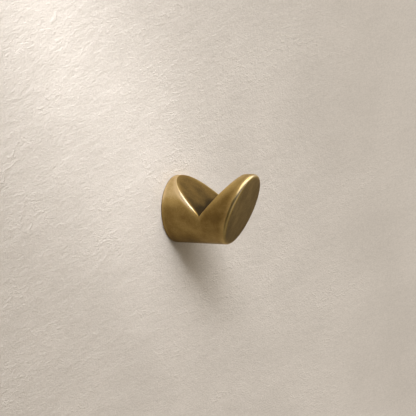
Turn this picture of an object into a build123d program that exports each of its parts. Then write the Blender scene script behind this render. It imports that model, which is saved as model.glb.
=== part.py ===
"""Wall coat hook: a notched, slant-faced round bar held by a hidden hanger bolt.

Sizes are in millimetres and degrees. The origin is the centre of the bar's back face, on the wall.
+Z is up, +X is to the right of a person facing the wall, and the bar stands out along -Y.
"""

import os
from math import atan2, degrees, radians, tan

from build123d import *

# Round bar and the flat front face that closes it
BAR_DIAMETER = 40.0
FRONT_ON_AXIS = 42.5  # wall to front face, along the bar's axis
FRONT_LEAN_ANGLE = 24.0  # the face's top leans outwards by this much

# V notch across the top, where a coat's loop hangs
NOTCH_ROOT_OUT = 24.0  # wall to the bottom of the V
NOTCH_ROOT_HEIGHT = 0.0  # bottom of the V above the bar's axis
NOTCH_BACK_ANGLE = 46.0  # slope on the wall side, from upright
NOTCH_FRONT_ANGLE = 44.0  # slope on the prong side, from upright

# Edges softened by hand finishing
NOTCH_ROOT_RADIUS = 0.6
NOTCH_EDGE_RADIUS = 1.0
FRONT_EDGE_RADIUS = 2.0
BACK_EDGE_CHAMFER = 0.6

# Hanger bolt: machine end in the bar, plain shank and pointed wood screw in the wall
BOLT_DIAMETER = 6.0
BOLT_IN_BAR = 12.0
BOLT_IN_WALL = 38.0
BOLT_NECK_DIAMETER = 5.2
BOLT_NECK_IN_BAR = 1.2
BOLT_NECK_IN_WALL = 3.0
BOLT_POINT_LENGTH = 9.4
BOLT_POINT_DIAMETER = 0.8
BOLT_END_CHAMFER = 0.7

# Wood thread: a ridge wound round the core behind the shank, which runs out on the point
THREAD_CORE_DIAMETER = 4.2
THREAD_PITCH = 2.6
THREAD_TURNS = 8  # on the straight core
THREAD_ON_POINT = 0.8  # share of the point that it covers
THREAD_DEPTH = 0.85
THREAD_END_DEPTH = 0.25
THREAD_ROOT_WIDTH = 1.5
THREAD_CREST_WIDTH = 0.16
THREAD_SINK = 0.3  # the ridge reaches into the core by this much

# Tapped blind hole that takes the bolt
HOLE_CLEARANCE = 0.05  # round the bolt, at the crests of the thread
HOLE_RUN_OUT = 2.0  # hole left free beyond the bolt's end
HOLE_CHAMFER = 0.6
DRILL_POINT_ANGLE = 118.0

CUT_MARGIN = 5.0  # cutting shapes run past the bar by this much


def lean(rise, angle):
    """Sideways run of a line that leans by an angle from upright."""
    return rise * tan(radians(angle))


bar_radius = BAR_DIAMETER / 2
cut_height = bar_radius + CUT_MARGIN
front_top = FRONT_ON_AXIS + lean(cut_height, FRONT_LEAN_ANGLE)
front_bottom = FRONT_ON_AXIS - lean(cut_height, FRONT_LEAN_ANGLE)
cut_end = front_top + CUT_MARGIN


def side_prism(points):
    """Solid as wide as the bar and its margins, from a side outline of (distance out, height)."""
    outline = Polygon(*[(-out, height) for out, height in points], align=None)
    return extrude(Plane.YZ * outline, cut_height, both=True)


def front_rim(solid):
    """Edges of the flat face that is furthest from the wall."""
    return solid.faces().filter_by(GeomType.PLANE).sort_by(Axis.Y)[0].edges()


def back_rim(solid):
    """Edges of the flat face that lies on the wall."""
    return solid.faces().filter_by(GeomType.PLANE).sort_by(Axis.Y)[-1].edges()


# Bar, with the seam of its round wall underneath
wall_plane = Plane(origin=(0, 0, 0), x_dir=(0, 0, -1), z_dir=(0, -1, 0))
bar = extrude(wall_plane * Circle(bar_radius), front_top)

front_waste = side_prism(
    [
        (front_bottom, -cut_height),
        (cut_end, -cut_height),
        (cut_end, cut_height),
        (front_top, cut_height),
    ]
)

notch_rise = cut_height - NOTCH_ROOT_HEIGHT
notch_waste = side_prism(
    [
        (NOTCH_ROOT_OUT, NOTCH_ROOT_HEIGHT),
        (NOTCH_ROOT_OUT + lean(notch_rise, NOTCH_FRONT_ANGLE), cut_height),
        (NOTCH_ROOT_OUT - lean(notch_rise, NOTCH_BACK_ANGLE), cut_height),
    ]
)

hook = bar - front_waste - notch_waste

# Bottom of the V, then its rim on the round wall, then the rims of the two end faces
hook = fillet(hook.edges().filter_by(Axis.X), NOTCH_ROOT_RADIUS)

round_wall = hook.faces().filter_by(GeomType.CYLINDER).sort_by(SortBy.AREA)[-1]
notch_rim = round_wall.edges() - front_rim(hook) - back_rim(hook)
hook = fillet(notch_rim.filter_by(GeomType.LINE, reverse=True), NOTCH_EDGE_RADIUS)
hook = fillet(front_rim(hook), FRONT_EDGE_RADIUS)
hook = chamfer(back_rim(hook), BACK_EDGE_CHAMFER)

# Tapped hole, drawn as half a section of (distance out, radius) and turned about the bar's axis
hole_radius = BOLT_DIAMETER / 2 + HOLE_CLEARANCE
hole_depth = BOLT_IN_BAR + HOLE_RUN_OUT
drill_tip = hole_depth + hole_radius / tan(radians(DRILL_POINT_ANGLE / 2))
mouth_radius = hole_radius + HOLE_CHAMFER


def turned(section):
    """Solid of revolution about the bar's axis, from half a section of (distance out, radius)."""
    outline = Polygon(*[(-out, radius) for out, radius in section], align=None)
    return revolve(Plane.YZ * outline, Axis.Y)


hole = turned(
    [
        (-CUT_MARGIN, 0),
        (-CUT_MARGIN, mouth_radius),
        (0, mouth_radius),
        (HOLE_CHAMFER, hole_radius),
        (hole_depth, hole_radius),
        (drill_tip, 0),
    ]
)
hook_body = hook - hole

# Hanger bolt without its thread, from its chamfered machine end to its point
bolt_radius = BOLT_DIAMETER / 2
neck_radius = BOLT_NECK_DIAMETER / 2
neck_step = bolt_radius - neck_radius
core_radius = THREAD_CORE_DIAMETER / 2
point_radius = BOLT_POINT_DIAMETER / 2
point_start = BOLT_IN_WALL - BOLT_POINT_LENGTH
thread_start = point_start - THREAD_TURNS * THREAD_PITCH
shank_end = thread_start + THREAD_ROOT_WIDTH / 2

bolt_blank = turned(
    [
        (BOLT_IN_BAR, 0),
        (BOLT_IN_BAR, bolt_radius - BOLT_END_CHAMFER),
        (BOLT_IN_BAR - BOLT_END_CHAMFER, bolt_radius),
        (BOLT_NECK_IN_BAR, bolt_radius),
        (BOLT_NECK_IN_BAR - neck_step, neck_radius),
        (neck_step - BOLT_NECK_IN_WALL, neck_radius),
        (-BOLT_NECK_IN_WALL, bolt_radius),
        (-shank_end, bolt_radius),
        (core_radius - bolt_radius - shank_end, core_radius),
        (-point_start, core_radius),
        (-BOLT_IN_WALL, point_radius),
        (-BOLT_IN_WALL, 0),
    ]
)


def ridge(path, place, depth):
    """Section of the thread's ridge, square to its helix at a place from 0 to 1 along it."""
    centre = path @ place
    outline = Polygon(
        (-THREAD_SINK, -THREAD_ROOT_WIDTH / 2),
        (depth, -THREAD_CREST_WIDTH / 2),
        (depth, THREAD_CREST_WIDTH / 2),
        (-THREAD_SINK, THREAD_ROOT_WIDTH / 2),
        align=None,
    )
    return Plane(origin=centre, x_dir=(centre.X, 0, centre.Z), z_dir=path % place) * outline


# Thread on the straight core, and its run-out on the point
point_angle = degrees(atan2(core_radius - point_radius, BOLT_POINT_LENGTH))
straight_helix = Helix(
    THREAD_PITCH, THREAD_TURNS * THREAD_PITCH, core_radius, center=(0, thread_start, 0), direction=(0, 1, 0)
)
point_helix = Helix(
    THREAD_PITCH,
    THREAD_ON_POINT * BOLT_POINT_LENGTH,
    core_radius,
    center=(0, point_start, 0),
    direction=(0, 1, 0),
    cone_angle=-point_angle,
)
thread = sweep(ridge(straight_helix, 0, THREAD_DEPTH), path=straight_helix, is_frenet=True)
run_out = sweep(
    [ridge(point_helix, 0, THREAD_DEPTH), ridge(point_helix, 1, THREAD_END_DEPTH)],
    path=point_helix,
    is_frenet=True,
    multisection=True,
)
hanger_bolt = bolt_blank + thread + run_out

os.makedirs("parts", exist_ok=True)
export_step(hook_body, "parts/hook_body.step")
export_step(hanger_bolt, "parts/hanger_bolt.step")
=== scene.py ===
"""Wall coat hook: a notched, slant-faced bar of aged brass on a hidden hanger bolt, on a plaster wall.

Shapes are worked out in millimetres, as in the part's drawing, and scaled to metres in the mesh.
The bar stands out of the wall along -Y, +Z is up and +X is to the right of a person facing the wall.
A point is written as (across, out, up): across is X, out is the distance from the wall, up is Z.
"""

import logging
import math
from dataclasses import dataclass
from enum import Enum
from typing import Any, Optional, Union

import bpy
import numpy as np
import numpy.typing as npt
from mathutils import Matrix, Vector


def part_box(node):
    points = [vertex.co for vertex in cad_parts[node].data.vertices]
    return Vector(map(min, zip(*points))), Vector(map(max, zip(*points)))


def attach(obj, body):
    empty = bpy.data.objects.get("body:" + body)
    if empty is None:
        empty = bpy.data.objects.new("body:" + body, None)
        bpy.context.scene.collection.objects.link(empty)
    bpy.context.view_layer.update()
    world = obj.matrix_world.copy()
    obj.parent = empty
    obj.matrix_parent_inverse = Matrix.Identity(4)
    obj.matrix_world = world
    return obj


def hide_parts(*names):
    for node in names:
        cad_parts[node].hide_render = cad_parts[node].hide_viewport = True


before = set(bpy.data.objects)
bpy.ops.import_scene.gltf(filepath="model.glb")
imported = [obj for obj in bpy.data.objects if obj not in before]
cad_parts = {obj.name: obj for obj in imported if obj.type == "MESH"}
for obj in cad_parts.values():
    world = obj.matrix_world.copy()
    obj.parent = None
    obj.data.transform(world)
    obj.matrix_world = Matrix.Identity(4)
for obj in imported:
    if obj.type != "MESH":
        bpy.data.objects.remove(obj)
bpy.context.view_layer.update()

Array = npt.NDArray[np.float64]
Colour = tuple[float, float, float]
Point = tuple[float, float, float]
Step = tuple[float, float]
Stops = tuple[tuple[float, Colour], ...]
Inputs = dict[Union[str, int], Any]
Operand = Union["Signal", float]

METRES = 0.001
FULL_TURN = 2.0 * math.pi
MIDDLE = 0.5
FRAME_PIXELS = 416
SENSOR_WIDTH = 36.0
NEAR_CLIP = 0.01

log = logging.getLogger("coat_hook")


class Node(Enum):
    """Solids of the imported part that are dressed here."""

    HOOK_BODY = "hook_body"
    HANGER_BOLT = "hanger_bolt"


class Slot(Enum):
    """Finishes named in the part's record."""

    AGED_BRASS = "aged_brass"
    ZINC_STEEL = "zinc_steel"


class Mask(Enum):
    """Values kept on the points of a mesh for its finish."""

    RUBBED = "rubbed"
    # brown tone, with painted shade and a painted highlight in it
    BROWNED = "browned"
    GLOW = "glow"


class LampKind(Enum):
    """Kinds of lamp in the studio."""

    SUN = "SUN"
    SPOT = "SPOT"


@dataclass(frozen=True)
class Grain:
    """A layer of noise in a finish.

    Size is that of its largest lumps in millimetres, detail the number of finer layers and rough their
    strength. Tone is its weight in the colour, and relief its weight in the bump.
    """

    size: float
    detail: float
    rough: float
    tone: float = 0.0
    relief: float = 0.0


class Signal:
    """An output socket that can be used in sums: each operation adds a Math node."""

    def __init__(self, tree: "ShaderTree", socket: bpy.types.NodeSocket) -> None:
        """Keep the socket and the tree that it is in."""
        self.tree = tree
        self.socket = socket

    def __add__(self, other: Operand) -> "Signal":
        """Sum of two values."""
        return self.tree.math("ADD", self, other)

    def __radd__(self, other: Operand) -> "Signal":
        """Sum, with a number on the left."""
        return self.tree.math("ADD", other, self)

    def __sub__(self, other: Operand) -> "Signal":
        """Difference of two values."""
        return self.tree.math("SUBTRACT", self, other)

    def __rsub__(self, other: Operand) -> "Signal":
        """Difference, with a number on the left."""
        return self.tree.math("SUBTRACT", other, self)

    def __mul__(self, other: Operand) -> "Signal":
        """Product of two values."""
        return self.tree.math("MULTIPLY", self, other)

    def __rmul__(self, other: Operand) -> "Signal":
        """Product, with a number on the left."""
        return self.tree.math("MULTIPLY", other, self)

    def __truediv__(self, other: Operand) -> "Signal":
        """Quotient of two values."""
        return self.tree.math("DIVIDE", self, other)

    def __rtruediv__(self, other: Operand) -> "Signal":
        """Quotient, with a number on top."""
        return self.tree.math("DIVIDE", other, self)

    def __abs__(self) -> "Signal":
        """Value without its sign."""
        return self.tree.math("ABSOLUTE", self)


class ShaderTree:
    """A node tree that is written as calls and expressions."""

    def __init__(self, tree: bpy.types.NodeTree) -> None:
        """Take over a tree and empty it."""
        self.tree = tree
        tree.nodes.clear()

    def node(
        self, kind: str, settings: Optional[dict[str, Any]] = None, inputs: Optional[Inputs] = None
    ) -> bpy.types.Node:
        """Add a node of any type.

        Args:
            kind: the node's type name.
            settings: its properties, set first; stops holds a ramp's (place, colour) pairs.
            inputs: numbers, colours or signals by the name or number of the socket.

        Returns:
            The new node.
        """
        made = self.tree.nodes.new(kind)
        for name, value in (settings or {}).items():
            if name == "stops":
                self._set_stops(made.color_ramp, value)
            else:
                setattr(made, name, value)
        for name, value in (inputs or {}).items():
            if isinstance(value, Signal):
                self.tree.links.new(value.socket, made.inputs[name])
            else:
                made.inputs[name].default_value = value
        return made

    def signal(self, made: bpy.types.Node, name: Union[str, int] = 0) -> Signal:
        """Output of a node, by name or number, ready for sums."""
        return Signal(self, made.outputs[name])

    def math(self, operation: str, first: Operand, second: Operand = 0.0) -> Signal:
        """Math node on one or two values."""
        settings = {"operation": operation}
        return self.signal(self.node("ShaderNodeMath", settings, {0: first, 1: second}))

    def clamp(self, value: Signal) -> Signal:
        """Value kept between 0 and 1."""
        return self.signal(self.node("ShaderNodeClamp", None, {"Value": value}))

    def smooth(self, value: Signal, low: float, high: float) -> Signal:
        """Smooth step from 0 at low to 1 at high.

        Args:
            value: what is tested.
            low: value that gives 0.
            high: value that gives 1.

        Returns:
            The step, between 0 and 1.
        """
        settings = {"interpolation_type": "SMOOTHSTEP"}
        inputs = {"Value": value, "From Min": low, "From Max": high}
        return self.signal(self.node("ShaderNodeMapRange", settings, inputs))

    def mix(self, factor: Operand, low: Any, high: Any) -> Signal:
        """Colour between two colours: the first at a factor of 0, the second at 1."""
        settings = {"data_type": "RGBA"}
        return self.signal(self.node("ShaderNodeMix", settings, {0: factor, 6: low, 7: high}), 2)

    def ramp(self, value: Signal, stops: Stops) -> Signal:
        """Colour picked at a place from 0 to 1 along a ramp of (place, colour) pairs."""
        return self.signal(self.node("ShaderNodeValToRGB", {"stops": stops}, {"Fac": value}))

    def place(self, stretch: Point = (1.0, 1.0, 1.0)) -> Signal:
        """Object coordinates, stretched along X, Y and Z."""
        where = self.signal(self.node("ShaderNodeTexCoord"), "Object")
        return self.signal(self.node("ShaderNodeMapping", None, {"Vector": where, "Scale": stretch}))

    def noise(self, where: Signal, grain: Grain) -> Signal:
        """Noise of a grain, about 0.5 on average.

        Args:
            where: coordinates in metres.
            grain: the layer's size and detail.

        Returns:
            The noise.
        """
        inputs = {
            "Vector": where,
            "Scale": 1.0 / (grain.size * METRES),
            "Detail": grain.detail,
            "Roughness": grain.rough,
        }
        return self.signal(self.node("ShaderNodeTexNoise", None, inputs), "Fac")

    def mask(self, mask: Mask) -> Signal:
        """Value that a mesh keeps on its points."""
        return self.signal(self.node("ShaderNodeAttribute", {"attribute_name": mask.value}), "Fac")

    def surface(self, inputs: Inputs, relief: Signal, strength: float, depth: float) -> Signal:
        """Principled surface with a bump.

        Args:
            inputs: values of the surface's sockets.
            relief: height of the bump.
            strength: share of the bump that is used.
            depth: millimetres that a relief of 1 stands for.

        Returns:
            The shader.
        """
        bump = {"Strength": strength, "Distance": depth * METRES, "Height": relief}
        normal = self.signal(self.node("ShaderNodeBump", None, bump))
        return self.signal(self.node("ShaderNodeBsdfPrincipled", None, {**inputs, "Normal": normal}))

    def output(self, shader: Signal) -> None:
        """Send a shader to the material's surface."""
        self.node("ShaderNodeOutputMaterial", None, {"Surface": shader})

    @staticmethod
    def _set_stops(ramp: bpy.types.ColorRamp, stops: Stops) -> None:
        """Replace a ramp's stops.

        Args:
            ramp: the ramp.
            stops: (place, colour) pairs.
        """
        while len(ramp.elements) > 1:
            ramp.elements.remove(ramp.elements[-1])
        ramp.elements[0].position = stops[0][0]
        ramp.elements[0].color = opaque(stops[0][1])
        for place, colour in stops[1:]:
            ramp.elements.new(place).color = opaque(colour)


def opaque(colour: Colour) -> tuple[float, float, float, float]:
    """Colour with full opacity."""
    return (*colour, 1.0)


def new_material(name: str) -> tuple[bpy.types.Material, ShaderTree]:
    """Empty material and its tree.

    Args:
        name: the material's name.

    Returns:
        The material, and its tree ready for nodes.
    """
    material = bpy.data.materials.new(name)
    material.use_nodes = True
    return material, ShaderTree(material.node_tree)


@dataclass(frozen=True)
class AgedBrass:
    """Satin brass that has turned brown over the years and is rubbed bright along its edges, with painted
    light and shade in its colour.

    The ramp runs from bright through worn and brown to dark, and its dark end also serves as painted shade.
    The most rubbed metal turns a pale colour that is partly polish and partly a painted tint for its
    highlights. Grazing is the tint of flat reflections.
    """

    # pale colour of the most rubbed metal: partly polish, partly a painted tint that makes highlights look
    # pale
    polished_and_highlight_tint: Colour = (0.76, 0.635, 0.45)
    # the dark end also serves as painted shade in the notch and at the wall
    age_and_shade_ramp: Stops = (
        (0.0, (0.75, 0.59, 0.34)),
        (0.28, (0.46, 0.325, 0.120)),
        (0.62, (0.21, 0.132, 0.040)),
        (1.0, (0.030, 0.019, 0.008)),
    )
    grazing: Colour = (0.95, 0.88, 0.74)
    cloud: Grain = Grain(17.0, 5.0, 0.6, tone=0.40)
    patch: Grain = Grain(5.5, 4.0, 0.6, tone=0.30, relief=0.60)
    speck: Grain = Grain(0.7, 3.0, 0.5, tone=0.15, relief=0.35)
    brushed: Grain = Grain(1000.0, 3.0, 0.6, relief=0.55)
    brush_stretch: Point = (60.0, 900.0, 60.0)
    rub_evenness: float = 0.55
    rub_patchiness: float = 0.90
    rub_cleaning: float = 0.60
    polish_and_highlight_step: Step = (0.55, 1.0)
    roughness: float = 0.48
    age_roughness: float = 0.16
    speck_roughness: float = 0.10
    rub_smoothness: float = 0.16
    bump_strength: float = 0.14
    bump_depth: float = 0.12

    def material(self) -> bpy.types.Material:
        """Build the finish.

        The brown tone that the mesh keeps, with its painted shade and painted highlight, is shifted by
        noise at three sizes and taken off where the edges are rubbed. It picks the colour on the ramp and
        adds roughness. The most rubbed metal is paler, partly as polish and partly as a painted tint for
        its highlights.

        Returns:
            The material.
        """
        made, tree = new_material(Slot.AGED_BRASS.value)
        where = tree.place()
        cloud, patch, speck = (tree.noise(where, grain) for grain in (self.cloud, self.patch, self.speck))
        brushed = tree.noise(tree.place(self.brush_stretch), self.brushed)
        rubbed = tree.clamp(tree.mask(Mask.RUBBED) * (self.rub_evenness + self.rub_patchiness * patch))
        # the kept value carries painted shade and a painted highlight as well as the brown tone
        age_and_shade = tree.mask(Mask.BROWNED) - self.rub_cleaning * rubbed
        for layer, grain in ((cloud, self.cloud), (patch, self.patch), (speck, self.speck)):
            age_and_shade = age_and_shade + grain.tone * (layer - MIDDLE)
        age_and_shade = tree.clamp(age_and_shade)
        # painted pale tint for the highlights on the most rubbed edges, partly real polish
        polish_and_highlight = tree.smooth(rubbed, *self.polish_and_highlight_step)
        roughness = (
            self.roughness
            + self.age_roughness * (age_and_shade - MIDDLE)
            + self.speck_roughness * (speck - MIDDLE)
            - self.rub_smoothness * rubbed
        )
        relief = self.brushed.relief * brushed + self.speck.relief * speck + self.patch.relief * patch
        inputs = {
            "Base Color": tree.mix(polish_and_highlight, tree.ramp(age_and_shade, self.age_and_shade_ramp), opaque(self.polished_and_highlight_tint)),
            "Metallic": 1.0,
            "Roughness": roughness,
            "Specular Tint": opaque(self.grazing),
        }
        tree.output(tree.surface(inputs, relief, self.bump_strength, self.bump_depth))
        return made


@dataclass(frozen=True)
class ZincSteel:
    """Zinc-plated steel, dulled to a soft grey with a faint straw tint."""

    clean: Colour = (0.60, 0.61, 0.62)
    dulled: Colour = (0.40, 0.405, 0.40)
    straw: Colour = (0.56, 0.52, 0.40)
    cloud: Grain = Grain(4.0, 4.0, 0.6)
    tint: Grain = Grain(9.0, 2.0, 0.5)
    rolled: Grain = Grain(0.25, 3.0, 0.6, tone=0.25)
    dull_step: Step = (0.40, 0.66)
    straw_step: Step = (0.48, 0.66)
    straw_share: float = 0.60
    roughness: float = 0.34
    dull_roughness: float = 0.16
    rolled_roughness: float = 0.12
    bump_strength: float = 0.15
    bump_depth: float = 0.06

    def material(self) -> bpy.types.Material:
        """Build the finish: cloudy dull patches and a straw tint over a fine rolled grain.

        Returns:
            The material.
        """
        made, tree = new_material(Slot.ZINC_STEEL.value)
        where = tree.place()
        cloud, tint, rolled = (tree.noise(where, grain) for grain in (self.cloud, self.tint, self.rolled))
        dull = tree.smooth(cloud + self.rolled.tone * (rolled - MIDDLE), *self.dull_step)
        grey = tree.mix(dull, opaque(self.clean), opaque(self.dulled))
        straw = self.straw_share * tree.smooth(tint, *self.straw_step)
        fine = self.rolled_roughness * (rolled - MIDDLE)
        inputs = {
            "Base Color": tree.mix(straw, grey, opaque(self.straw)),
            "Metallic": 1.0,
            "Roughness": self.roughness + self.dull_roughness * dull + fine,
        }
        tree.output(tree.surface(inputs, rolled, self.bump_strength, self.bump_depth))
        return made


@dataclass(frozen=True)
class PlasterWall:
    """Pale, hand-trowelled plaster that is seen from the room's side alone.

    The stroke's reach and length are in metres.
    """

    light: Colour = (0.83, 0.770, 0.718)
    shade: Colour = (0.69, 0.638, 0.590)
    stroke_reach: float = 0.40
    stroke_length: float = 0.18
    least_growth: float = 0.15
    cloud: Grain = Grain(40.0, 4.0, 0.55, tone=0.5)
    trowel: Grain = Grain(9.0, 5.0, 0.62, relief=0.5)
    grit: Grain = Grain(0.9, 3.0, 0.7, tone=2.4, relief=1.4)
    pits: Grain = Grain(2.4, 3.0, 0.8, tone=1.2, relief=0.7)
    crease: Grain = Grain(22.0, 5.0, 0.65, relief=0.6)
    base_tone: float = 0.25
    cloud_step: Step = (0.3, 0.7)
    trowel_step: Step = (0.40, 0.60)
    crease_width: float = 0.02
    crease_step: Step = (0.48, 0.60)
    roughness: float = 0.9
    bump_strength: float = 0.6
    bump_depth: float = 0.3

    def stroke(self, tree: ShaderTree) -> Signal:
        """Coordinates on which the plaster's marks grow to the right.

        With r = 1 + X / reach, the marks are read at -length / r along the wall and at Z / r up it.

        Args:
            tree: the material's tree.

        Returns:
            The coordinates, in metres.
        """
        where = tree.node("ShaderNodeSeparateXYZ", None, {0: tree.place()})
        growth = tree.math("MAXIMUM", 1.0 + tree.signal(where, "X") / self.stroke_reach, self.least_growth)
        shrink = 1.0 / growth
        inputs = {"X": -self.stroke_length * shrink, "Z": tree.signal(where, "Z") * shrink}
        return tree.signal(tree.node("ShaderNodeCombineXYZ", None, inputs))

    def material(self) -> bpy.types.Material:
        """Build the finish: cloudy tone, trowel marks, grit and pits, and nothing to see from behind.

        Creases run where a noise passes its middle, and show where the cloudy tone is light.

        Returns:
            The material.
        """
        made, tree = new_material("plaster")
        where = self.stroke(tree)
        grains = (self.cloud, self.trowel, self.grit, self.pits, self.crease)
        cloud, trowel, grit, pits, band = (tree.noise(where, grain) for grain in grains)
        tone = self.base_tone + self.cloud.tone * tree.smooth(cloud, *self.cloud_step)
        tone = tone + self.grit.tone * (grit - MIDDLE) + self.pits.tone * (pits - MIDDLE)
        line = 1.0 - tree.smooth(abs(band - MIDDLE), 0.0, self.crease_width)
        crease = line * tree.smooth(1.0 - cloud, *self.crease_step)
        relief = self.trowel.relief * tree.smooth(trowel, *self.trowel_step) + self.grit.relief * grit
        relief = relief + self.pits.relief * pits + self.crease.relief * crease
        colour = tree.mix(tree.clamp(tone), opaque(self.light), opaque(self.shade))
        inputs = {"Base Color": colour, "Roughness": self.roughness}
        plaster = tree.surface(inputs, relief, self.bump_strength, self.bump_depth)
        behind = tree.signal(tree.node("ShaderNodeNewGeometry"), "Backfacing")
        clear = tree.signal(tree.node("ShaderNodeBsdfTransparent"))
        shown = tree.node("ShaderNodeMixShader", None, {0: behind, 1: plaster, 2: clear})
        tree.output(tree.signal(shown))
        return made


@dataclass(frozen=True)
class SurroundTone:
    """Warm white of the studio's surround, as bright as the glow that its points keep."""

    colour: Colour = (1.0, 0.95, 0.87)

    def material(self) -> bpy.types.Material:
        """Build the tone: the colour scaled by the glow.

        Returns:
            The material.
        """
        made, tree = new_material("surround")
        glow = {0: self.colour, "Scale": tree.mask(Mask.GLOW)}
        scaled = tree.node("ShaderNodeVectorMath", {"operation": "SCALE"}, glow)
        light = tree.node("ShaderNodeEmission", None, {"Color": tree.signal(scaled)})
        tree.output(tree.signal(light))
        return made


def at(across: Array, out: Array, up: Array) -> Array:
    """Points or directions of the part's frame, with X, Y and Z along the last axis; out is -Y."""
    across, out, up = np.broadcast_arrays(across, out, up)
    return np.stack([across, -out, up], axis=-1)


def spokes(angle: Array) -> Array:
    """Unit directions out of the bar's axis: the sine of the angle across and its cosine up."""
    return at(np.sin(angle), np.zeros_like(angle), np.cos(angle))


def heading(degrees: float) -> Array:
    """Unit direction as (out, up), by its angle above straight out."""
    return np.array([math.cos(math.radians(degrees)), math.sin(math.radians(degrees))])


def even_turn(count: int) -> Array:
    """Even angles once round, without the last."""
    return np.linspace(0.0, FULL_TURN, count, endpoint=False)


def even_shares(steps: int) -> Array:
    """Even shares from 0 to 1."""
    return np.linspace(0.0, 1.0, steps + 1)


def swing(start: Array, end: Array, shares: Array) -> Array:
    """Directions on the shortest arc between two unit directions.

    With w the angle between them, share s gives (sin((1 - s) w) start + sin(s w) end) / sin(w).

    Args:
        start: first directions, with X, Y and Z along the last axis.
        end: last directions, of the same shape.
        shares: shares of the arc, from 0 to 1.

    Returns:
        An array whose first axis is the shares.
    """
    share = shares.reshape(-1, *([1] * start.ndim))
    angle = np.arccos(np.clip(np.sum(start * end, axis=-1, keepdims=True), -1.0, 1.0))
    return (np.sin((1.0 - share) * angle) * start + np.sin(share * angle) * end) / np.sin(angle)


@dataclass(frozen=True)
class Fade:
    """An amount that comes in smoothly between two places."""

    start: float
    end: float
    amount: float = 1.0

    def over(self, values: Array) -> Array:
        """Amount at each value: with s the clipped share of the way, the amount times s s (3 - 2 s)."""
        share = np.clip((values - self.start) / (self.end - self.start), 0.0, 1.0)
        return self.amount * share**2 * (3.0 - 2.0 * share)


class Quilt:
    """Grids of surface points that are welded along their shared edges into one closed mesh."""

    WELD = 1e-5

    def __init__(self) -> None:
        """Start with no grids."""
        self.points: list[Array] = []
        self.normals: list[Array] = []
        self.quads: list[npt.NDArray[np.int64]] = []
        self.count = 0

    def add(self, points: Array, normals: Array, ring: bool = False) -> None:
        """Add a grid, each of whose cells becomes a face.

        The faces are turned over where the cross products of their diagonals point against the normals.

        Args:
            points: grid of points, with X, Y and Z along the last axis.
            normals: the surface's outward directions at those points.
            ring: whether the last column joins the first.
        """
        rows, columns = points.shape[:2]
        normals = np.broadcast_to(normals, points.shape)
        numbers = np.arange(rows * columns).reshape(rows, columns)
        if ring:
            numbers = np.concatenate([numbers, numbers[:, :1]], axis=1)
        corners = [numbers[:-1, :-1], numbers[1:, :-1], numbers[1:, 1:], numbers[:-1, 1:]]
        quads = np.stack(corners, axis=-1).reshape(-1, 4)
        flat, facing = points.reshape(-1, 3), normals.reshape(-1, 3)
        cross = np.cross(flat[quads[:, 2]] - flat[quads[:, 0]], flat[quads[:, 3]] - flat[quads[:, 1]])
        if np.sum(cross * facing[quads].mean(axis=1)) < 0.0:
            quads = quads[:, ::-1]
        self.points.append(flat)
        self.normals.append(facing)
        self.quads.append(quads + self.count)
        self.count += rows * columns

    def welded(self) -> tuple[Array, Array, list[list[int]], Array]:
        """Join the grids.

        Points that agree to the weld distance become one. A cell whose edge has shrunk to a point loses
        that corner and becomes a triangle.

        Returns:
            Points, their mean outward directions, faces as lists of point numbers, and the direction at
            each corner of each face in the same order.
        """
        points, normals = np.concatenate(self.points), np.concatenate(self.normals)
        quads = np.concatenate(self.quads)
        keys = np.round(points / self.WELD).astype(np.int64)
        _, first, same = np.unique(keys, axis=0, return_index=True, return_inverse=True)
        same = same.reshape(-1)
        mean = np.zeros((len(first), 3))
        np.add.at(mean, same, normals)
        mean /= np.linalg.norm(mean, axis=1, keepdims=True)
        welded = same[quads]
        shrunk = welded == np.roll(welded, -1, axis=1)
        whole = ~shrunk.any(axis=1)
        cut = shrunk.sum(axis=1) == 1
        kept = (np.argmax(shrunk[cut], axis=1)[:, None] + np.arange(1, 4)) % 4
        triangles = np.take_along_axis(quads[cut], kept, axis=1)
        faces = same[quads[whole]].tolist() + same[triangles].tolist()
        corners = np.concatenate([quads[whole].reshape(-1), triangles.reshape(-1)])
        return points[first], mean, faces, normals[corners]

    def mesh(self, name: str) -> tuple[bpy.types.Mesh, Array, Array]:
        """Make the welded mesh, in metres.

        Args:
            name: the mesh's name.

        Returns:
            The mesh, and its points and outward directions in millimetres.
        """
        points, mean, faces, corners = self.welded()
        made = bpy.data.meshes.new(name)
        made.from_pydata((points * METRES).tolist(), [], faces)
        made.polygons.foreach_set("use_smooth", np.ones(len(faces), dtype=bool))
        made.normals_split_custom_set(corners.tolist())
        made.update()
        return made, points, mean


def keep_mask(mesh: bpy.types.Mesh, mask: Mask, values: Array) -> None:
    """Store a value on each point of a mesh."""
    layer = mesh.attributes.new(mask.value, "FLOAT", "POINT")
    layer.data.foreach_set("value", values.astype(np.float32))


def put(name: str, mesh: bpy.types.Mesh, finish: bpy.types.Material) -> bpy.types.Object:
    """Add an object whose mesh is already in place.

    Args:
        name: the object's name.
        mesh: its mesh.
        finish: its material.

    Returns:
        The new object.
    """
    mesh.materials.append(finish)
    made = bpy.data.objects.new(name, mesh)
    bpy.context.scene.collection.objects.link(made)
    return made


def seat(piece: bpy.types.Object, node: Node) -> bpy.types.Object:
    """Put a piece in the place of a solid.

    Args:
        piece: the finished piece.
        node: the solid that it stands for.

    Returns:
        The same piece.
    """
    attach(piece, "root")
    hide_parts(node.value)
    return piece


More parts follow.
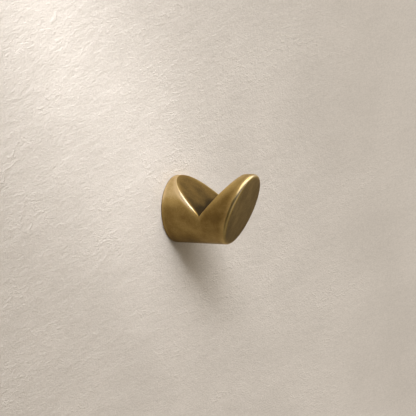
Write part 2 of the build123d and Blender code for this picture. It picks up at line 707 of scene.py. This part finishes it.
@dataclass(frozen=True)
class BrassWearAndShade:
    """How the bar is rubbed and turned brown, and where shade and a highlight are painted into that brown.

    Fades run over distances from the wall or heights above the bar's axis, in millimetres, or over a part
    of the outward direction. The first group shapes the rubbing and says how far the notch's hollow
    reaches, the second is for the tone of the round wall, with a painted highlight on its upper side and
    painted shade on its lower side by the wall, and the third for that of the flats, with painted shade on
    the slopes and in the notch's hollow, and for the painted shade of the joint with the wall.
    """

    rub_prong: Fade = Fade(30.0, 36.0)
    rub_width: float = 1.7
    rub_front_narrower: float = 0.3
    rub_front_wider: Fade = Fade(-1.0, 1.0, 1.2)
    rub_in_hollow: float = 0.75
    rub_front_lower: Fade = Fade(13.0, -2.0, 0.45)
    rub_front_foot: Fade = Fade(-8.0, -18.0, 0.30)
    rub_notch_top: Fade = Fade(9.0, 18.0, 0.50)
    rub_prong_slope: Fade = Fade(0.0, 4.0, 0.60)
    rub_by_wall: Fade = Fade(10.0, 1.5, 0.55)
    hollow_reach: float = 3.6

    front_half: Fade = Fade(20.0, 34.0)
    round_facing: Fade = Fade(0.75, 0.95)
    round_tone: float = 0.57
    round_front_tone: float = 0.04
    # painted highlight: makes the upper side of the round wall lighter
    top_highlight_back: Fade = Fade(3.0, 12.0, 0.40)
    top_highlight_front: Fade = Fade(9.0, 18.0, 0.20)
    lower_side: Fade = Fade(-1.0, -5.0)
    lower_back_tone: float = 0.04
    lower_front_tone: float = 0.05
    # painted shade: the lower side by the wall is darker, a painted reflection of the wall's shadow
    underside_shadow: Fade = Fade(-8.0, -17.0, 0.17)
    underside_shadow_reach: Fade = Fade(26.0, 12.0)

    face_facing: Fade = Fade(0.80, 0.90)
    slope_facing: Fade = Fade(0.50, 0.65)
    flat_tone: float = 0.63
    face_top_tone: float = 0.10
    # painted shade on the notch's slopes, less to the right, where a painted reflection lightens them
    slope_shade_tone: float = 0.18
    slope_right_reflection: Fade = Fade(2.0, 14.0, 0.12)
    # painted shade in the hollow of the notch
    hollow_shade_tone: float = 0.75
    # painted shade at the joint with the wall, for the reflection of the dark gap there, and darker low
    # down
    joint: Fade = Fade(0.9, 0.3, 0.30)
    joint_shade: Fade = Fade(6.0, 1.0, 0.08)
    joint_lower: Fade = Fade(4.0, -6.0)


@dataclass
class Rim:
    """Path of the ball that rounds the notch's rim, from the top of the bar to the bottom of the notch.

    Each level has one height and one angle round the bar, and a centre on each of the notch's two slopes.
    """

    angle: Array
    height: Array
    back_out: Array
    front_out: Array
    back_facing: Array
    front_facing: Array


@dataclass
class HookBody:
    """The bar: round wall, V notch across the top, slanted front face and a tapped hole in its back."""

    radius: float
    front_on_axis: float = 42.5
    front_lean: float = 24.0
    notch_out: float = 24.0
    notch_height: float = 0.0
    back_slope: float = 46.0
    front_slope: float = 44.0
    root_round: float = 0.6
    rim_round: float = 1.0
    front_round: float = 2.0
    front_easing: float = 0.85
    back_round: float = 0.6
    hole_radius: float = 3.05
    hole_depth: float = 14.0
    hole_chamfer: float = 0.6
    drill_angle: float = 118.0
    slope_levels: int = 64
    root_levels: int = 12
    underside_steps: int = 120
    length_steps: int = 34
    round_steps: int = 12
    wear_and_shade: BrassWearAndShade = BrassWearAndShade()
    finish: AgedBrass = AgedBrass()

    @property
    def back_normal(self) -> Array:
        """Outward direction of the slope on the wall side, as (out, up)."""
        return heading(self.back_slope)

    @property
    def front_normal(self) -> Array:
        """Outward direction of the slope on the prong side, as (out, up)."""
        return heading(180.0 - self.front_slope)

    @property
    def face_normal(self) -> Array:
        """Outward direction of the slanted front face, as (out, up)."""
        return heading(-self.front_lean)

    @property
    def root(self) -> Array:
        """Sharp bottom of the V, as (out, up)."""
        return np.array([self.notch_out, self.notch_height])

    @property
    def root_axis(self) -> Array:
        """Axis of the rounded bottom, which lies the root's radius clear of both slopes."""
        slopes = np.stack([self.back_normal, self.front_normal])
        return self.root + np.linalg.solve(slopes, np.full(2, self.root_round))

    def branch(self, height: Array, slope: Array) -> tuple[Array, Array]:
        """Ball centres along one slope, and the directions in which the ball touches the notch.

        On the flat of the slope the centre lies the ball's radius inside it. Lower down it runs on a circle
        about the root's axis, whose radius is the root's plus the ball's.

        Args:
            height: heights of the centres.
            slope: the slope's outward direction, as (out, up).

        Returns:
            Distances out of the centres, and unit directions as (out, up).
        """
        axis, reach = self.root_axis, self.root_round + self.rim_round
        on_flat = height >= axis[1] - reach * slope[1]
        flat_out = self.root[0] - (self.rim_round + slope[1] * (height - self.root[1])) / slope[0]
        drop = np.sqrt(np.maximum(reach**2 - (height - axis[1]) ** 2, 0.0))
        round_out = axis[0] - np.sign(slope[0]) * drop
        out = np.where(on_flat, flat_out, round_out)
        to_axis = np.stack([axis[0] - out, axis[1] - height], axis=-1) / reach
        return out, np.where(on_flat[:, None], slope, to_axis)

    def rim(self) -> Rim:
        """Levels of the notch's rim.

        They stand at even angles round the bar on the slopes, and at even angles about the root below.

        Returns:
            The rim.
        """
        reach, ring = self.root_round + self.rim_round, self.radius - self.rim_round
        axis_up = self.root_axis[1]
        slant = min(self.back_normal[1], self.front_normal[1])
        last = math.acos((axis_up - reach * slant) / ring)
        slopes = ring * np.cos(np.linspace(0.0, last, self.slope_levels + 1))
        turn = np.linspace(math.acos(slant), 0.0, self.root_levels + 1)[1:]
        height = np.concatenate([slopes, axis_up - reach * np.cos(turn)])
        back_out, back_facing = self.branch(height, self.back_normal)
        front_out, front_facing = self.branch(height, self.front_normal)
        return Rim(np.arccos(height / ring), height, back_out, front_out, back_facing, front_facing)

    def columns(self, rim: Rim) -> tuple[Array, Array, Array]:
        """Angles all round the bar, with the notch's two edges on the round wall.

        From the top down the right side the columns are the rim's levels, then even steps pass below the
        notch, and the left side mirrors the right.

        Args:
            rim: the notch's rim.

        Returns:
            Angles from the top, distance out of the wall side's edge and of the prong side's edge.
        """
        low = rim.angle[-1]
        under = np.linspace(low, FULL_TURN - low, self.underside_steps + 1)[1:-1]
        angle = np.concatenate([rim.angle, under, FULL_TURN - rim.angle[:0:-1]])
        meet = np.full(len(under), rim.back_out[-1])
        back = np.concatenate([rim.back_out, meet, rim.back_out[:0:-1]])
        front = np.concatenate([rim.front_out, meet, rim.front_out[:0:-1]])
        return angle, back, front

    def face_centres(self, angle: Array) -> Array:
        """Centres of the ball that rounds the front rim, its radius inside the round wall and the face.

        Args:
            angle: angles round the bar.

        Returns:
            One centre an angle.
        """
        ring, lean = self.radius - self.front_round, math.radians(self.front_lean)
        up = ring * np.cos(angle)
        out = self.front_on_axis + up * math.tan(lean) - self.front_round / math.cos(lean)
        return at(ring * np.sin(angle), out, up)

    def add_wall(self, quilt: Quilt, angle: Array, back: Array, front: Array) -> None:
        """Round wall in two grids, from the back edge to the notch and from the notch to the front rim.

        A point lies the bar's radius from the axis, at an angle and at an even share of the way along.

        Args:
            quilt: the mesh in the making.
            angle: angles round the bar.
            back: where the first grid ends.
            front: where the second grid starts.
        """
        share = even_shares(self.length_steps)[:, None]
        end = -self.face_centres(angle)[:, 1]
        for start, stop in ((np.full_like(back, self.back_round), back), (front, end)):
            out = start + (stop - start) * share
            points = at(self.radius * np.sin(angle), out, self.radius * np.cos(angle))
            quilt.add(points, spokes(angle)[None], ring=True)

    def add_notch(self, quilt: Quilt, rim: Rim) -> None:
        """Rounded rims and flat slopes of the notch.

        Across a rim a ball's surface swings from facing out of the round wall to facing into the notch. A
        slope is ruled by level lines between the two places where the ball touches it.

        Args:
            quilt: the mesh in the making.
            rim: the notch's rim.
        """
        side = np.concatenate([-rim.angle[:0:-1], rim.angle])
        ring = self.radius - self.rim_round
        width = ring * np.sin(rim.angle)
        share = np.linspace(-1.0, 1.0, 2 * self.length_steps + 1)
        for out, facing in ((rim.back_out, rim.back_facing), (rim.front_out, rim.front_facing)):
            both = np.concatenate([out[:0:-1], out])
            both_facing = np.concatenate([facing[:0:-1], facing])
            notch_facing = at(np.zeros_like(side), both_facing[:, 0], both_facing[:, 1])
            centres = at(ring * np.sin(side), both, ring * np.cos(side))
            turned = swing(spokes(side), notch_facing, even_shares(self.round_steps))
            quilt.add(centres + self.rim_round * turned, turned)
            touch_out = out + self.rim_round * facing[:, 0]
            touch_up = rim.height + self.rim_round * facing[:, 1]
            points = at(width[:, None] * share, touch_out[:, None], touch_up[:, None])
            quilt.add(points, at(np.zeros_like(out), facing[:, 0], facing[:, 1])[:, None])

    def add_front(self, quilt: Quilt, angle: Array) -> None:
        """Rounded front rim and the slanted face inside it.

        Across the rim a ball's surface swings from facing out of the round wall to facing out of the face.
        Its shading runs a little ahead of that swing, by a power of the share, as on a hand-rolled edge.
        The face is a fan of rings that shrink evenly to the middle of the rim.

        Args:
            quilt: the mesh in the making.
            angle: angles round the bar.
        """
        centres = self.face_centres(angle)
        out, up = self.face_normal
        face_facing = np.broadcast_to(np.array([0.0, -out, up]), centres.shape)
        share = even_shares(self.round_steps)
        turned = swing(spokes(angle), face_facing, share)
        eased = swing(spokes(angle), face_facing, share**self.front_easing)
        quilt.add(centres + self.front_round * turned, eased, ring=True)
        edge = centres + self.front_round * face_facing
        middle = (edge.min(axis=0) + edge.max(axis=0)) / 2
        middle[0] = 0.0
        share = even_shares(self.length_steps)[:, None, None]
        quilt.add(edge + (middle - edge) * share, face_facing[None], ring=True)

    def add_back(self, quilt: Quilt, angle: Array) -> None:
        """Eased back edge, flat back face and the tapped hole in it.

        The edge is a quarter of a ring. The face and the hole are rings about the axis: each stretch of the
        hole's half section, of (out, radius) corners, is turned once round.

        Args:
            quilt: the mesh in the making.
            angle: angles round the bar.
        """
        ring = self.radius - self.back_round
        back_facing = np.broadcast_to(np.array([0.0, 1.0, 0.0]), (len(angle), 3))
        centres = at(ring * np.sin(angle), np.full_like(angle, self.back_round), ring * np.cos(angle))
        turned = swing(spokes(angle), back_facing, even_shares(self.round_steps // 2))
        quilt.add(centres + self.back_round * turned, turned, ring=True)
        tip = self.hole_depth + self.hole_radius / math.tan(math.radians(self.drill_angle / 2))
        section = np.array(
            [
                (0.0, ring),
                (0.0, self.hole_radius + self.hole_chamfer),
                (self.hole_chamfer, self.hole_radius),
                (self.hole_depth, self.hole_radius),
                (tip, 0.0),
            ]
        )
        share = even_shares(self.round_steps)[:, None]
        for start, stop in zip(section[:-1], section[1:]):
            along = (stop - start) / np.linalg.norm(stop - start)
            line = start + (stop - start) * share
            points = at(line[:, 1:] * np.sin(angle), line[:, :1], line[:, 1:] * np.cos(angle))
            facing = at(-along[0] * np.sin(angle), along[1], -along[0] * np.cos(angle))
            quilt.add(points, facing[None], ring=True)

    def rubbed(self, points: Array) -> Array:
        """How far each point is rubbed bright.

        A point lies on one of the four surfaces, so its second smallest distance to them is its distance to
        the nearest edge. The value falls off from that edge as a bell curve, which is wider on the round
        wall's side of the front rim. It is taken down in the hollow of the notch, at the top of its rim, on
        its prong side, towards the foot of the front rim and by the wall.

        Args:
            points: points in millimetres.

        Returns:
            One value a point, 1 on a fully rubbed edge.
        """
        wear_and_shade = self.wear_and_shade
        across, out, up = points[:, 0], -points[:, 1], points[:, 2]
        from_root = np.stack([out, up], axis=-1) - self.root
        around = np.abs(np.hypot(across, up) - self.radius)
        notch = np.abs(np.minimum(from_root @ self.back_normal, from_root @ self.front_normal))
        face = np.abs(np.stack([out - self.front_on_axis, up], axis=-1) @ self.face_normal)
        edge = np.partition(np.stack([around, notch, face, np.abs(out)], axis=-1), 1, axis=-1)[:, 1]
        fore = wear_and_shade.rub_prong.over(out)
        wider = wear_and_shade.rub_front_wider.over(face - around) - wear_and_shade.rub_front_narrower
        kept = 1.0 - wear_and_shade.rub_in_hollow * np.exp(-np.linalg.norm(from_root, axis=-1) / wear_and_shade.hollow_reach)
        kept *= 1.0 - fore * (wear_and_shade.rub_front_lower.over(up) + wear_and_shade.rub_front_foot.over(up))
        kept *= 1.0 - (1.0 - fore) * wear_and_shade.rub_notch_top.over(up)
        kept *= 1.0 - wear_and_shade.rub_prong_slope.over(out - self.notch_out) * (face > notch)
        kept *= 1.0 - wear_and_shade.rub_by_wall.over(out)
        return kept * np.exp(-((edge / (wear_and_shade.rub_width + fore * wider)) ** 2))

    def browned(self, points: Array, facing: Array) -> Array:
        """How brown each point is, with painted shade and a painted highlight in the same value.

        The round wall, which faces away from the axis, has a painted highlight that makes its upper side
        lighter, is a little lighter just below the axis and a little darker on the prong, and carries
        painted shade on its lower side by the wall, a painted reflection of the wall's shadow. Of the
        flats, the front face is lighter towards its top, and the slopes carry painted shade, less of it to
        the right, where a painted reflection lightens them. Painted shade on the slopes in the hollow of
        the notch fades with the distance from its bottom and stays off the rubbed edges, and the joint with
        the wall is darkest, painted shade that stands for the reflection of the dark gap there.

        Args:
            points: points in millimetres.
            facing: outward directions.

        Returns:
            One value a point, 0 for bright metal and 1 for the darkest brown or the deepest painted shade.
        """
        wear_and_shade = self.wear_and_shade
        across, out, up = points[:, 0], -points[:, 1], points[:, 2]
        fore = wear_and_shade.front_half.over(out)
        # painted highlight on the upper side of the round wall
        top_highlight = wear_and_shade.top_highlight_back.over(up) * (1.0 - fore) + wear_and_shade.top_highlight_front.over(up) * fore
        lower = (wear_and_shade.lower_back_tone + wear_and_shade.lower_front_tone * fore) * wear_and_shade.lower_side.over(up)
        # painted shade on the lower side by the wall, a painted reflection of the wall's shadow
        under = wear_and_shade.underside_shadow.over(up) * wear_and_shade.underside_shadow_reach.over(out)
        on_round = wear_and_shade.round_tone + wear_and_shade.round_front_tone * fore - top_highlight - lower + under
        on_face, on_slope = wear_and_shade.face_facing.over(-facing[:, 1]), wear_and_shade.slope_facing.over(facing[:, 2])
        on_flat = wear_and_shade.flat_tone - wear_and_shade.face_top_tone * on_face * up / self.radius
        # painted shade on the slopes, lightened to the right by a painted reflection
        on_flat += (wear_and_shade.slope_shade_tone - wear_and_shade.slope_right_reflection.over(across)) * on_slope
        gap = np.hypot(out - self.root[0], up - self.root[1])
        # painted shade in the notch's hollow, kept off the rubbed edges
        hollow = wear_and_shade.hollow_shade_tone * np.exp(-gap / wear_and_shade.hollow_reach)
        hollow_shade = hollow * on_slope * (1.0 - self.rubbed(points))
        # painted shade at the joint with the wall
        by_wall = wear_and_shade.joint.over(out) + wear_and_shade.joint_shade.over(out) * wear_and_shade.joint_lower.over(up)
        round_share = wear_and_shade.round_facing.over(np.hypot(facing[:, 0], facing[:, 2]))
        return on_flat + (on_round - on_flat) * round_share + hollow_shade + by_wall

    def build(self) -> bpy.types.Object:
        """Build the bar's mesh and dress it.

        Returns:
            The finished piece.
        """
        quilt, rim = Quilt(), self.rim()
        angle, back, front = self.columns(rim)
        self.add_wall(quilt, angle, back, front)
        self.add_notch(quilt, rim)
        self.add_front(quilt, angle)
        self.add_back(quilt, angle)
        mesh, points, facing = quilt.mesh("hook_bar")
        keep_mask(mesh, Mask.RUBBED, self.rubbed(points))
        keep_mask(mesh, Mask.BROWNED, self.browned(points, facing))
        return seat(put("hook_bar", mesh, self.finish.material()), Node.HOOK_BODY)


@dataclass
class HangerBolt:
    """Steel bolt: a machine thread in the bar, then a plain shank and a pointed wood thread in the wall."""

    radius: float
    in_bar: float
    in_wall: float
    neck_radius: float = 2.6
    neck_in_bar: float = 1.2
    neck_in_wall: float = 3.0
    end_chamfer: float = 0.7
    machine_pitch: float = 1.0
    machine_depth: float = 0.54
    core_radius: float = 2.1
    point_length: float = 9.4
    point_radius: float = 0.4
    wood_pitch: float = 2.6
    wood_turns: int = 8
    wood_on_point: float = 0.8
    ridge_depth: float = 0.85
    ridge_end_depth: float = 0.25
    ridge_root: float = 1.5
    ridge_foot: float = 1.15
    ridge_crest: float = 0.16
    columns: int = 96
    row_step: float = 0.08
    end_rings: int = 4
    finish: ZincSteel = ZincSteel()

    @property
    def point_start(self) -> float:
        """Where the point starts, along the bolt."""
        return self.in_wall - self.point_length

    @property
    def wood_start(self) -> float:
        """Where the wood thread's helix starts, along the bolt."""
        return self.point_start - self.wood_turns * self.wood_pitch

    def plain(self, along: Array) -> Array:
        """Radius of the bolt without its threads: straight lines between the corners of its half section.

        Args:
            along: distances into the wall from its face.

        Returns:
            One radius a distance.
        """
        neck_step = self.radius - self.neck_radius
        shank_end = self.wood_start + self.ridge_root / 2
        corners = [
            (-self.in_bar, self.radius - self.end_chamfer),
            (self.end_chamfer - self.in_bar, self.radius),
            (-self.neck_in_bar, self.radius),
            (neck_step - self.neck_in_bar, self.neck_radius),
            (self.neck_in_wall - neck_step, self.neck_radius),
            (self.neck_in_wall, self.radius),
            (shank_end, self.radius),
            (shank_end + self.radius - self.core_radius, self.core_radius),
            (self.point_start, self.core_radius),
            (self.in_wall, self.point_radius),
        ]
        places, radii = np.array(corners).T
        return np.interp(along, places, radii)

    def profile(self, along: Array, angle: Array) -> Array:
        """Radius of the bolt at each place along it and angle round it.

        A helix of pitch p passes the angle a at p a / (full turn) from its start, so the distance along the
        bolt to its nearest turn is p times the rounded-off part of (along - start) / p - a / (full turn).
        The machine thread is a V cut down from the plain radius, deepest half a pitch from its crest. The
        wood thread is a ridge with straight flanks that stands on the core and shrinks along the point.

        Args:
            along: distances into the wall from its face, one a row.
            angle: angles round the bolt, one a column.

        Returns:
            Radii, rows by columns.
        """
        rows, turn = along[:, None], angle[None, :] / FULL_TURN
        radius = np.repeat(self.plain(rows), len(angle), axis=1)

        share = rows / self.machine_pitch - turn
        groove = 2.0 * self.machine_depth * np.abs(share - np.round(share))
        radius = np.where(rows < -self.neck_in_bar, np.minimum(radius, self.radius - groove), radius)

        share = (rows - self.wood_start) / self.wood_pitch - turn
        offset = self.wood_pitch * (share - np.round(share))
        centre = rows - offset
        last = self.point_start + self.wood_on_point * self.point_length
        depth = np.interp(centre, [self.point_start, last], [self.ridge_depth, self.ridge_end_depth])
        flank = (self.ridge_foot / 2 - np.abs(offset)) / (self.ridge_foot / 2 - self.ridge_crest / 2)
        ridge = depth * np.clip(flank, 0.0, 1.0) * ((centre >= self.wood_start) & (centre <= last))
        core = np.interp(rows, [self.point_start, self.in_wall], [self.core_radius, self.point_radius])
        return np.where(rows > self.wood_start, np.maximum(radius, core + ridge), radius)

    def build(self) -> bpy.types.Object:
        """Build the bolt's mesh and dress it.

        A point lies at the profile's radius from the axis. Its facing is the cross product of the
        differences of its neighbours round the bolt and along it. Two fans close the ends.

        Returns:
            The finished piece.
        """
        rows = int((self.in_bar + self.in_wall) / self.row_step) + 1
        along, angle = np.linspace(-self.in_bar, self.in_wall, rows), even_turn(self.columns)
        radius = self.profile(along, angle)
        points = at(radius * np.sin(angle), -along[:, None], radius * np.cos(angle))
        around = np.roll(points, -1, axis=1) - np.roll(points, 1, axis=1)
        facing = np.cross(around, np.gradient(points, axis=0))
        facing /= np.linalg.norm(facing, axis=-1, keepdims=True)
        quilt = Quilt()
        quilt.add(points, facing, ring=True)
        share = even_shares(self.end_rings)[:, None, None]
        for edge, outward in ((points[0], -1.0), (points[-1], 1.0)):
            middle = np.array([0.0, edge[0, 1], 0.0])
            quilt.add(edge + (middle - edge) * share, np.array([0.0, outward, 0.0]), ring=True)
        mesh, _, _ = quilt.mesh("wall_bolt")
        return seat(put("wall_bolt", mesh, self.finish.material()), Node.HANGER_BOLT)


@dataclass(frozen=True)
class Lamp:
    """A soft lamp, aimed at a point.

    Places and sizes are in metres. Power is in watts, or in watts a square metre for a sun. The spread is
    the full angle in degrees, and the size is a spot's own width.
    """

    name: str
    kind: LampKind
    place: Point
    aim: Point
    power: float
    spread: float
    size: float = 0.0

    def build(self) -> bpy.types.Object:
        """Make the lamp, which lights surfaces but doesn't show in the metal's gloss.

        Returns:
            The lamp's object.
        """
        data = bpy.data.lights.new(self.name, self.kind.value)
        data.energy = self.power
        if self.kind is LampKind.SUN:
            data.angle = math.radians(self.spread)
        else:
            data.spot_size = math.radians(self.spread)
            data.spot_blend = 1.0
            data.shadow_soft_size = self.size / 2
        lamp = bpy.data.objects.new(self.name, data)
        lamp.visible_glossy = False
        lamp.location = self.place
        toward = Vector(self.aim) - Vector(self.place)
        lamp.rotation_euler = toward.to_track_quat("-Z", "Y").to_euler()
        bpy.context.scene.collection.objects.link(lamp)
        return lamp


@dataclass(frozen=True)
class Glow:
    """A soft bright patch of the surround: direction from the hook, width in degrees and tone."""

    toward: Point
    width: float
    tone: float


@dataclass
class Surround:
    """Half dome on the room's side of the wall, which the metal shows in its gloss."""

    radius: float = 2400.0
    base: float = 0.03
    rows: int = 32
    columns: int = 64
    finish: SurroundTone = SurroundTone()

    def glows(self) -> list[Glow]:
        """Patches of the room that the metal shows.

        Returns:
            Three above, one to the upper right, and dimmer ones in front, at both sides and below.
        """
        return [
            Glow((0.22, -0.38, 0.90), 24.0, 2.6),
            Glow((-0.30, -0.50, 0.81), 22.0, 2.7),
            Glow((0.25, -0.62, 0.74), 15.0, 1.2),
            Glow((0.62, -0.55, 0.56), 20.0, 2.6),
            Glow((0.15, -0.93, -0.33), 16.0, 1.2),
            Glow((-0.40, -0.80, -0.45), 16.0, 0.4),
            Glow((0.30, -0.93, 0.20), 16.0, 0.3),
            Glow((0.95, -0.15, -0.12), 22.0, 0.88),
            Glow((-0.98, -0.05, 0.15), 20.0, 0.25),
            Glow((0.20, -0.45, -0.87), 30.0, 0.55),
        ]

    def tone(self, toward: Array) -> Array:
        """Brightness of the surround in each direction.

        Each glow adds a bell curve of the angle from its middle to the even base.

        Args:
            toward: unit directions, with X, Y and Z along the last axis.

        Returns:
            One tone a direction.
        """
        total = np.full(toward.shape[:-1], self.base)
        for glow in self.glows():
            middle = np.array(glow.toward) / np.linalg.norm(glow.toward)
            angle = np.degrees(np.arccos(np.clip(toward @ middle, -1.0, 1.0)))
            total += glow.tone * np.exp(-((angle / glow.width) ** 2))
        return total

    def build(self) -> bpy.types.Object:
        """Make the dome: rings about the hook's axis, from the wall's plane to the pole in front of it.

        Returns:
            The dome's object.
        """
        lean = np.linspace(math.pi / 2, 0.0, self.rows + 1)[:, None]
        angle = even_turn(self.columns)
        toward = at(np.sin(lean) * np.sin(angle), np.cos(lean), np.sin(lean) * np.cos(angle))
        quilt = Quilt()
        quilt.add(self.radius * toward, -toward, ring=True)
        mesh, points, _ = quilt.mesh("surround")
        keep_mask(mesh, Mask.GLOW, self.tone(points / self.radius))
        dome = put("surround", mesh, self.finish.material())
        dome.visible_camera = False
        dome.visible_diffuse = False
        dome.visible_shadow = False
        return dome


@dataclass
class Studio:
    """The pale wall behind the hook, the surround, the lamps and the camera."""

    wall_gap: float = 0.3
    wall_opening: float = 18.5
    wall_reach: float = 3000.0
    wall_columns: int = 128
    wall_rings: int = 48
    pale: Colour = (0.80, 0.75, 0.69)
    fill: Colour = (0.264, 0.228, 0.172)
    azimuth: float = -63.19
    elevation: float = 10.05
    roll: float = -4.07
    distance: float = 360.0
    focal_pixels: float = 605.28
    aim_right: float = 17.83
    aim_up: float = 0.29
    finish: PlasterWall = PlasterWall()

    def lamps(self) -> list[Lamp]:
        """Soft daylight from the upper left, and two spots on that side.

        Returns:
            Two broad suns, a beam that makes the pool of light on the wall, and a wash that fades along it.
        """
        sun, spot, hook = LampKind.SUN, LampKind.SPOT, (0.0, -0.02, 0.0)
        return [
            Lamp("day_lamp", sun, (-0.42, -0.72, 2.0), hook, 1.93, 74.0),
            Lamp("side_lamp", sun, (-1.05, -0.46, 2.0), hook, 2.50, 52.0),
            Lamp("beam_lamp", spot, (-0.40, -0.20, 0.46), (-0.088, 0.0, 0.088), 16.4, 14.5, 0.1),
            Lamp("wash_lamp", spot, (-0.35, -0.30, 0.65), (0.0, 0.0, 0.15), 11.0, 38.0, 0.3),
        ]

    def wall(self) -> bpy.types.Object:
        """Make the wall, a hair behind the hook's back face.

        It is a flat ring about the hook's axis, with an opening that the hook covers, so that its back face
        is lit in views from behind. The radius grows by equal ratios from the opening outwards.

        Returns:
            The wall's object.
        """
        angle = even_turn(self.wall_columns)
        radius = np.geomspace(self.wall_opening, self.wall_reach, self.wall_rings + 1)[:, None]
        points = at(radius * np.sin(angle), -self.wall_gap, radius * np.cos(angle))
        quilt = Quilt()
        quilt.add(points, np.array([0.0, -1.0, 0.0]), ring=True)
        mesh, _, _ = quilt.mesh("plaster_wall")
        wall = put("plaster_wall", mesh, self.finish.material())
        return wall

    def world(self) -> None:
        """Make the surroundings: pale where they are seen, and a dim, warm fill of light elsewhere."""
        world = bpy.data.worlds.new("surroundings")
        world.use_nodes = True
        bpy.context.scene.world = world
        tree = ShaderTree(world.node_tree)
        path = tree.node("ShaderNodeLightPath")
        seen = tree.signal(path, "Is Camera Ray") + tree.signal(path, "Is Glossy Ray")
        seen = tree.clamp(seen + tree.signal(path, "Is Transmission Ray"))
        colour = tree.mix(seen, opaque(self.fill), opaque(self.pale))
        light = tree.node("ShaderNodeBackground", None, {"Color": colour})
        tree.node("ShaderNodeOutputWorld", None, {"Surface": tree.signal(light)})

    def camera(self) -> bpy.types.Object:
        """Make the camera of the photograph: left of the hook, a little above it and slightly rolled.

        Returns:
            The camera's object.
        """
        turn, lift, roll = (math.radians(v) for v in (self.azimuth, self.elevation, self.roll))
        flat = math.cos(lift)
        back = Vector((math.sin(turn) * flat, -math.cos(turn) * flat, math.sin(lift)))
        level = Vector((math.cos(turn), math.sin(turn), 0.0))
        upright = back.cross(level)
        right = math.cos(roll) * level + math.sin(roll) * upright
        up = math.cos(roll) * upright - math.sin(roll) * level
        eye = (self.aim_right * right + self.aim_up * up + self.distance * back) * METRES
        data = bpy.data.cameras.new("camera")
        data.sensor_width = SENSOR_WIDTH
        data.lens = self.focal_pixels / FRAME_PIXELS * SENSOR_WIDTH
        data.clip_start = NEAR_CLIP
        camera = bpy.data.objects.new("camera", data)
        axes = Matrix((right, up, back)).transposed().to_4x4()
        camera.matrix_world = Matrix.Translation(eye) @ axes
        bpy.context.scene.collection.objects.link(camera)
        bpy.context.scene.camera = camera
        return camera

    def build(self) -> None:
        """Build the whole stage."""
        self.wall()
        self.world()
        self.camera()
        Surround().build()
        for lamp in self.lamps():
            lamp.build()


def report(piece: bpy.types.Object) -> None:
    """Log a piece's name, its faces and its size in millimetres."""
    size = ", ".join(f"{v / METRES:.2f}" for v in piece.dimensions)
    log.info("%s: %d faces, %s mm", piece.name, len(piece.data.polygons), size)


def main() -> None:
    """Build the hook, its bolt and the stage, and log the faces and sizes of the dressed pieces."""
    logging.basicConfig(level=logging.INFO, format="%(name)s %(message)s")
    bpy.context.scene.view_settings.view_transform = "Standard"
    body_low, body_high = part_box(Node.HOOK_BODY.value)
    bolt_low, bolt_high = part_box(Node.HANGER_BOLT.value)
    hook = HookBody(radius=(body_high.x - body_low.x) / 2 / METRES)
    bolt = HangerBolt(
        radius=(bolt_high.x - bolt_low.x) / 2 / METRES,
        in_bar=-bolt_low.y / METRES,
        in_wall=bolt_high.y / METRES,
    )
    report(hook.build())
    report(bolt.build())
    Studio().build()


if __name__ == "__main__":
    main()
